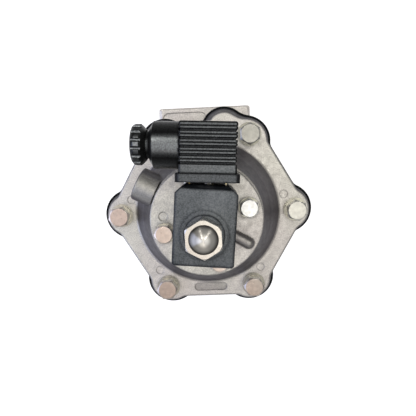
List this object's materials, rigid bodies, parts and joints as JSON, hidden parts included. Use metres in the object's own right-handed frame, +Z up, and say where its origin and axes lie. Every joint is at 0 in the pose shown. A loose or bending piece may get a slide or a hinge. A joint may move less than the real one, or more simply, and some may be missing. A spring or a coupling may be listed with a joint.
{
  "type": "dust collector pulse valve",
  "caption": "Right-angle pulse valve: lobed die-cast body and cover with a bolted rim, threaded side inlet and bottom outlet, side exhaust spout, and a solenoid pilot with a square plug on top.",
  "frame": {"origin": "centre of the outlet port's mouth, on the face that the valve stands on", "axes": "+Z up the valve's axis to the solenoid, +Y out of the inlet port, +X to the right when seen from above with the inlet port away"},
  "size_m": [0.137, 0.131, 0.1837],
  "materials": {
    "cast_aluminium": "satin, bead-blasted casting",
    "membrane_rubber": "matte",
    "zinc_plated_steel": "zinc plated",
    "nickel_plated_steel": "nickel plated",
    "spring_steel": "drawn wire",
    "stainless_steel": "turned",
    "coil_plastic": "fine grain, matte",
    "plug_plastic": "satin",
    "insert_plastic": "matte",
    "seal_rubber": "matte",
    "seat_rubber": "matte",
    "tinned_brass": "stamped",
    "copper": "turned"
  },
  "bodies": {
    "housing": {"valve_body": "cast_aluminium", "main_membrane": "membrane_rubber", "main_cover": "cast_aluminium", "cover_bolts": "zinc_plated_steel", "cover_flat_washers": "zinc_plated_steel", "cover_spring_washers": "zinc_plated_steel", "main_spring": "spring_steel", "pilot_membrane": "membrane_rubber", "pilot_cover": "cast_aluminium", "pilot_bolts": "zinc_plated_steel", "pilot_spring_washers": "zinc_plated_steel", "pilot_spring": "spring_steel", "tube_seal_ring": "seal_rubber", "guide_tube": "stainless_steel", "fixed_core": "stainless_steel", "shading_ring": "copper", "coil_nut": "nickel_plated_steel", "nut_washer": "seal_rubber", "armature_spring": "spring_steel"},
    "main_piston": {"upper_plate": "zinc_plated_steel", "lower_plate": "zinc_plated_steel", "membrane_rivet": "zinc_plated_steel"},
    "pilot_piston": {"pilot_plate": "zinc_plated_steel", "pilot_rivet": "zinc_plated_steel"},
    "armature": {"armature": "stainless_steel", "armature_seal": "seat_rubber"},
    "coil_unit": {"coil": "coil_plastic", "coil_terminals": "tinned_brass", "plug_seal": "seal_rubber", "plug_housing": "plug_plastic", "terminal_block": "insert_plastic", "terminal_screws": "zinc_plated_steel", "plug_screw": "zinc_plated_steel", "gland_nut": "plug_plastic", "gland_grommet": "seal_rubber", "gland_ring": "insert_plastic"}
  },
  "joints": [
    {"name": "main_membrane_lift", "type": "slide", "parent": "housing", "child": "main_piston", "axis": [0, 0, 1], "range_m": [0, 0.008], "stiffness_N_per_m": 2000, "springref_m": -0.008, "deforming": ["main_membrane", "main_spring"]},
    {"name": "pilot_membrane_lift", "type": "slide", "parent": "housing", "child": "pilot_piston", "axis": [0, 0, 1], "range_m": [0, 0.0025], "stiffness_N_per_m": 1500, "springref_m": -0.003, "deforming": ["pilot_membrane", "pilot_spring"]},
    {"name": "armature_lift", "type": "slide", "parent": "housing", "child": "armature", "axis": [0, 0, 1], "range_m": [0, 0.0018], "stiffness_N_per_m": 600, "springref_m": -0.004, "deforming": ["armature_spring"]},
    {"name": "coil_turn", "type": "hinge", "parent": "housing", "child": "coil_unit", "pos_m": [0, 0, 0.154], "axis": [0, 0, 1], "continuous": true}
  ]
}
